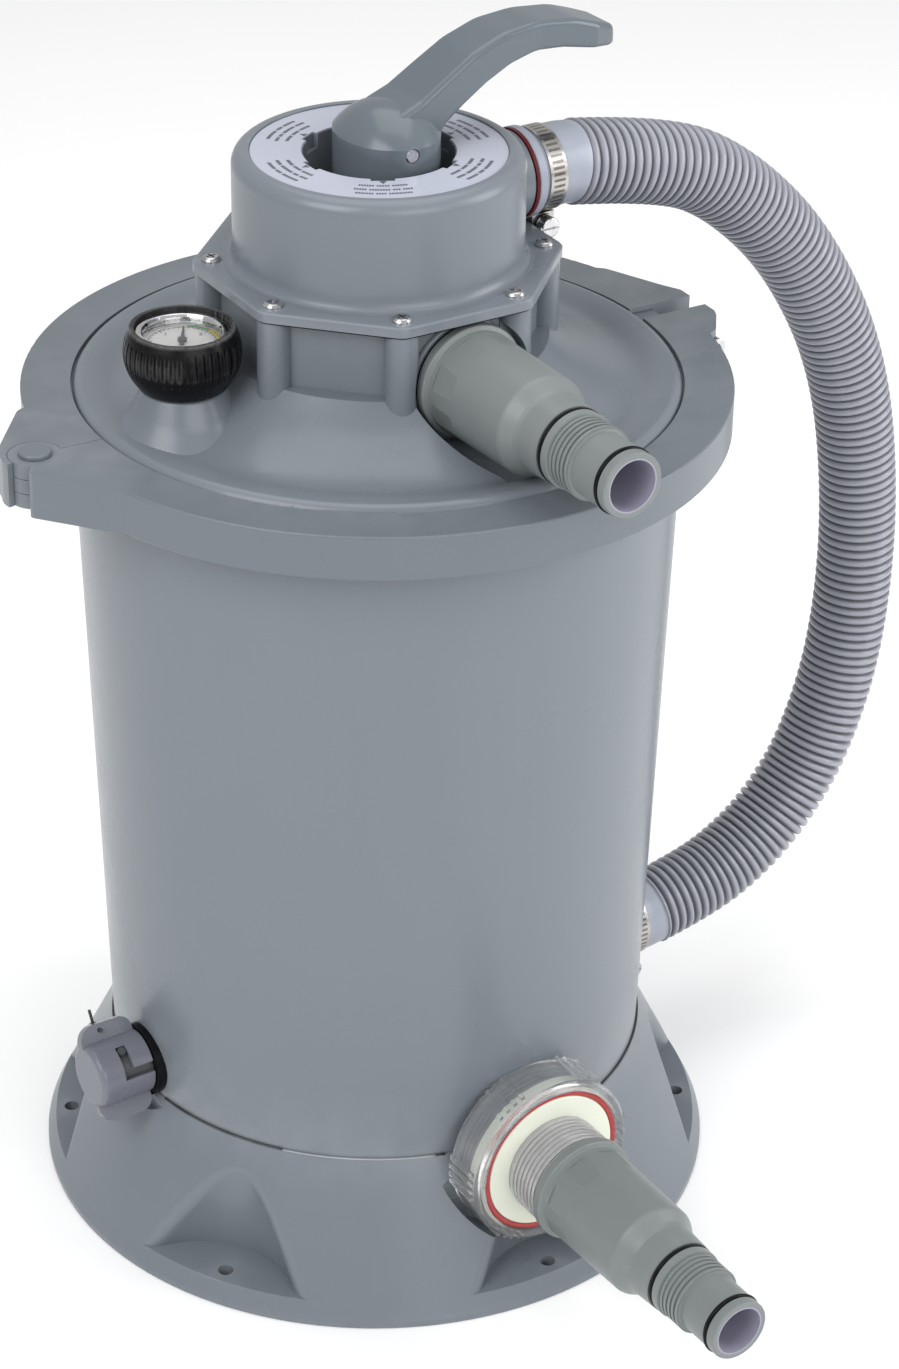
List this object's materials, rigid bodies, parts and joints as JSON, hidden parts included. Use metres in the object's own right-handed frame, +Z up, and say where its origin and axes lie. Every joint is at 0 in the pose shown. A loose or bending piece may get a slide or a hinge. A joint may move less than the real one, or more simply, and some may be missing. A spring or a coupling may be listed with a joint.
{
  "type": "pool sand filter tank",
  "caption": "Round sand filter tank on a skirted base, with a band-clamped lid, a lever valve, gauge, hose loop and two hose adaptors.",
  "frame": {"origin": "on the tank's vertical axis at floor level, the centre of the circle of foot bolts", "axes": "+Z up along the tank; +X towards the hose loop's ports; -Y towards the two adaptors for the pool hoses"},
  "size_m": [0.5414, 0.5043, 0.6218],
  "materials": {
    "body": "satin moulded blue-grey",
    "clamp_plastic": "satin moulded grey",
    "handle_plastic": "satin moulded blue-grey",
    "adaptor_plastic": "satin greenish grey",
    "inner_plastic": "plain moulded white",
    "cream_plastic": "cream",
    "clear_plastic": "clear moulded",
    "smoky_plastic": "cloudy translucent",
    "black_rubber": "soft matt",
    "red_rubber": "soft matt",
    "hose_plastic": "soft corrugated",
    "steel": "bright zinc or stainless",
    "chrome": "polished",
    "brass": "turned",
    "label": null,
    "dial": null,
    "lens": "clear",
    "sand": "fine silica sand",
    "black_plastic": "matt"
  },
  "bodies": {
    "tank": {"base_skirt": "body", "tank_shell": "body", "sand_bed": "sand", "lateral_hub": "inner_plastic", "laterals": "inner_plastic", "standpipe": "inner_plastic", "diffuser": "inner_plastic", "lid_seal": "black_rubber", "lid_dome": "body", "cover_gasket": "black_rubber", "valve_cover": "body", "cover_screws": "steel", "valve_label": "label", "rotor_gasket": "black_rubber", "rotor_spring": "steel", "gauge_stem": "brass", "gauge_case": "steel", "gauge_boot": "black_rubber", "gauge_bezel": "chrome", "gauge_dial": "dial", "gauge_lens": "lens", "top_adaptor": "adaptor_plastic", "top_adaptor_o_rings": "black_rubber", "port_gaskets": "black_rubber", "crossover_pipe": "body", "union_flange": "cream_plastic", "union_seal": "red_rubber", "sight_tube": "clear_plastic", "bottom_adaptor": "adaptor_plastic", "bottom_adaptor_o_rings": "black_rubber", "upper_hose_tail": "body", "upper_tail_gasket": "red_rubber", "lower_hose_tail": "body", "lower_tail_gasket": "red_rubber", "hose_cuffs": "hose_plastic", "hose": "hose_plastic", "upper_clamp_band": "steel", "lower_clamp_band": "steel", "drain_elbow": "inner_plastic", "drain_spigot": "inner_plastic", "drain_gasket": "black_rubber"},
    "selector": {"cam_washer": "cream_plastic"},
    "rotor": {"valve_rotor": "inner_plastic", "stem_o_rings": "black_rubber", "handle_pin": "steel"},
    "handle": {"valve_handle": "handle_plastic"},
    "gauge_pointer": {"gauge_needle": "black_plastic"},
    "clamp_front": {"clamp_front_half": "clamp_plastic"},
    "clamp_screw": {"clamp_bolt": "steel"},
    "clamp_rear": {"clamp_rear_half": "clamp_plastic", "clamp_hinge_pin": "clamp_plastic", "clamp_nut": "steel"},
    "union_collar": {"union_nut": "clear_plastic"},
    "waste_plug": {"waste_cap": "body"},
    "drain_plug": {"drain_cap": "smoky_plastic", "drain_tether": "black_plastic"},
    "upper_band_screw": {"upper_clamp_screw": "steel"},
    "lower_band_screw": {"lower_clamp_screw": "steel"}
  },
  "joints": [
    {"name": "selector_turn", "type": "hinge", "parent": "tank", "child": "selector", "pos_m": [0, 0, 0.5], "axis": [0, 0, 1], "continuous": true},
    {"name": "rotor_lift", "type": "slide", "parent": "selector", "child": "rotor", "axis": [0, 0, 1], "range_m": [0, 0.005], "stiffness_N_per_m": 250, "springref_m": -0.01, "deforming": ["rotor_spring"]},
    {"name": "handle_press", "type": "hinge", "parent": "rotor", "child": "handle", "pos_m": [0, 0, 0.576], "axis": [0, 1, 0], "range_deg": [0, 14]},
    {"name": "gauge_sweep", "type": "hinge", "parent": "tank", "child": "gauge_pointer", "pos_m": [-0.1095, 0, 0.495], "axis": [0, 0, 1], "range_deg": [-130, 0], "stiffness_Nm_per_rad": 0.0001},
    {"name": "clamp_front_swing", "type": "hinge", "parent": "tank", "child": "clamp_front", "pos_m": [-0.18483, 0.00891, 0.442], "axis": [0, 0, -1], "range_deg": [0, 20]},
    {"name": "clamp_rear_swing", "type": "hinge", "parent": "tank", "child": "clamp_rear", "pos_m": [-0.18483, 0.00891, 0.442], "axis": [0, 0, 1], "range_deg": [0, 20]},
    {"name": "clamp_bolt_draw", "type": "slide", "parent": "clamp_front", "child": "clamp_screw", "axis": [-0.0698, -0.9976, 0], "range_m": [0, 0.06]},
    {"name": "union_nut_turn", "type": "hinge", "parent": "tank", "child": "union_collar", "pos_m": [0, -0.156, 0.0773], "axis": [0, -1, 0], "continuous": true},
    {"name": "waste_cap_turn", "type": "hinge", "parent": "tank", "child": "waste_plug", "pos_m": [0, 0.087, 0.481], "axis": [0, 1, 0], "continuous": true},
    {"name": "drain_cap_turn", "type": "hinge", "parent": "tank", "child": "drain_plug", "pos_m": [-0.16, 0, 0.095], "axis": [-1, 0, 0], "range_deg": [0, 45]},
    {"name": "upper_band_screw_turn", "type": "hinge", "parent": "tank", "child": "upper_band_screw", "pos_m": [0.091, 0, 0.515], "axis": [0, -1, 0], "continuous": true},
    {"name": "lower_band_screw_turn", "type": "hinge", "parent": "tank", "child": "lower_band_screw", "pos_m": [0.165, 0, 0.0455], "axis": [0, -1, 0], "continuous": true}
  ],
  "couplings": [
    {"joint": "rotor_lift", "follows": "handle_press", "m_per_rad": 0.02046}
  ]
}
